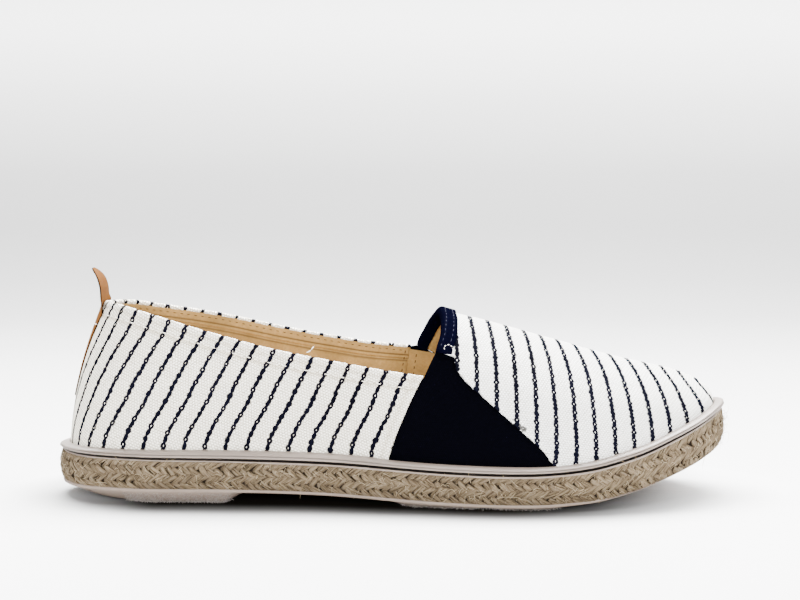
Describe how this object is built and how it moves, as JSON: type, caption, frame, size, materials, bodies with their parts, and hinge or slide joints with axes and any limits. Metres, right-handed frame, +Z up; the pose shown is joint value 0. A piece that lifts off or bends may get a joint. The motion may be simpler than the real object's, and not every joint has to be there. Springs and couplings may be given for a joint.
{
  "type": "espadrille",
  "caption": "Slip-on espadrille for the right foot: striped canvas upper, dark elastic gores, rubber welt and a braided jute sole with a thin rubber outsole.",
  "frame": {"origin": "middle of the shoe's bounding box, on the floor", "axes": "+X from heel to toe, +Y to the inner (big toe) side, +Z up"},
  "size_m": [0.29, 0.0986, 0.0978],
  "materials": {
    "outsole_rubber": "matt moulded rubber, flocked underneath",
    "jute": "braided natural jute",
    "welt_rubber": "satin rubber",
    "canvas": "plain-weave cotton canvas with dark chain stripes",
    "insole": "smooth tan lining",
    "elastic": "fine ribbed elastic",
    "binding_tape": "folded cotton tape",
    "leather": "smooth tan leather with burnished edges"
  },
  "bodies": {
    "root": {"outsole": "outsole_rubber", "jute_midsole": "jute", "welt": "welt_rubber", "upper": "canvas", "insole": "insole", "gore_outer_side": "elastic", "gore_inner_side": "elastic", "throat_binding": "binding_tape", "heel_strip": "leather"}
  },
  "joints": []
}
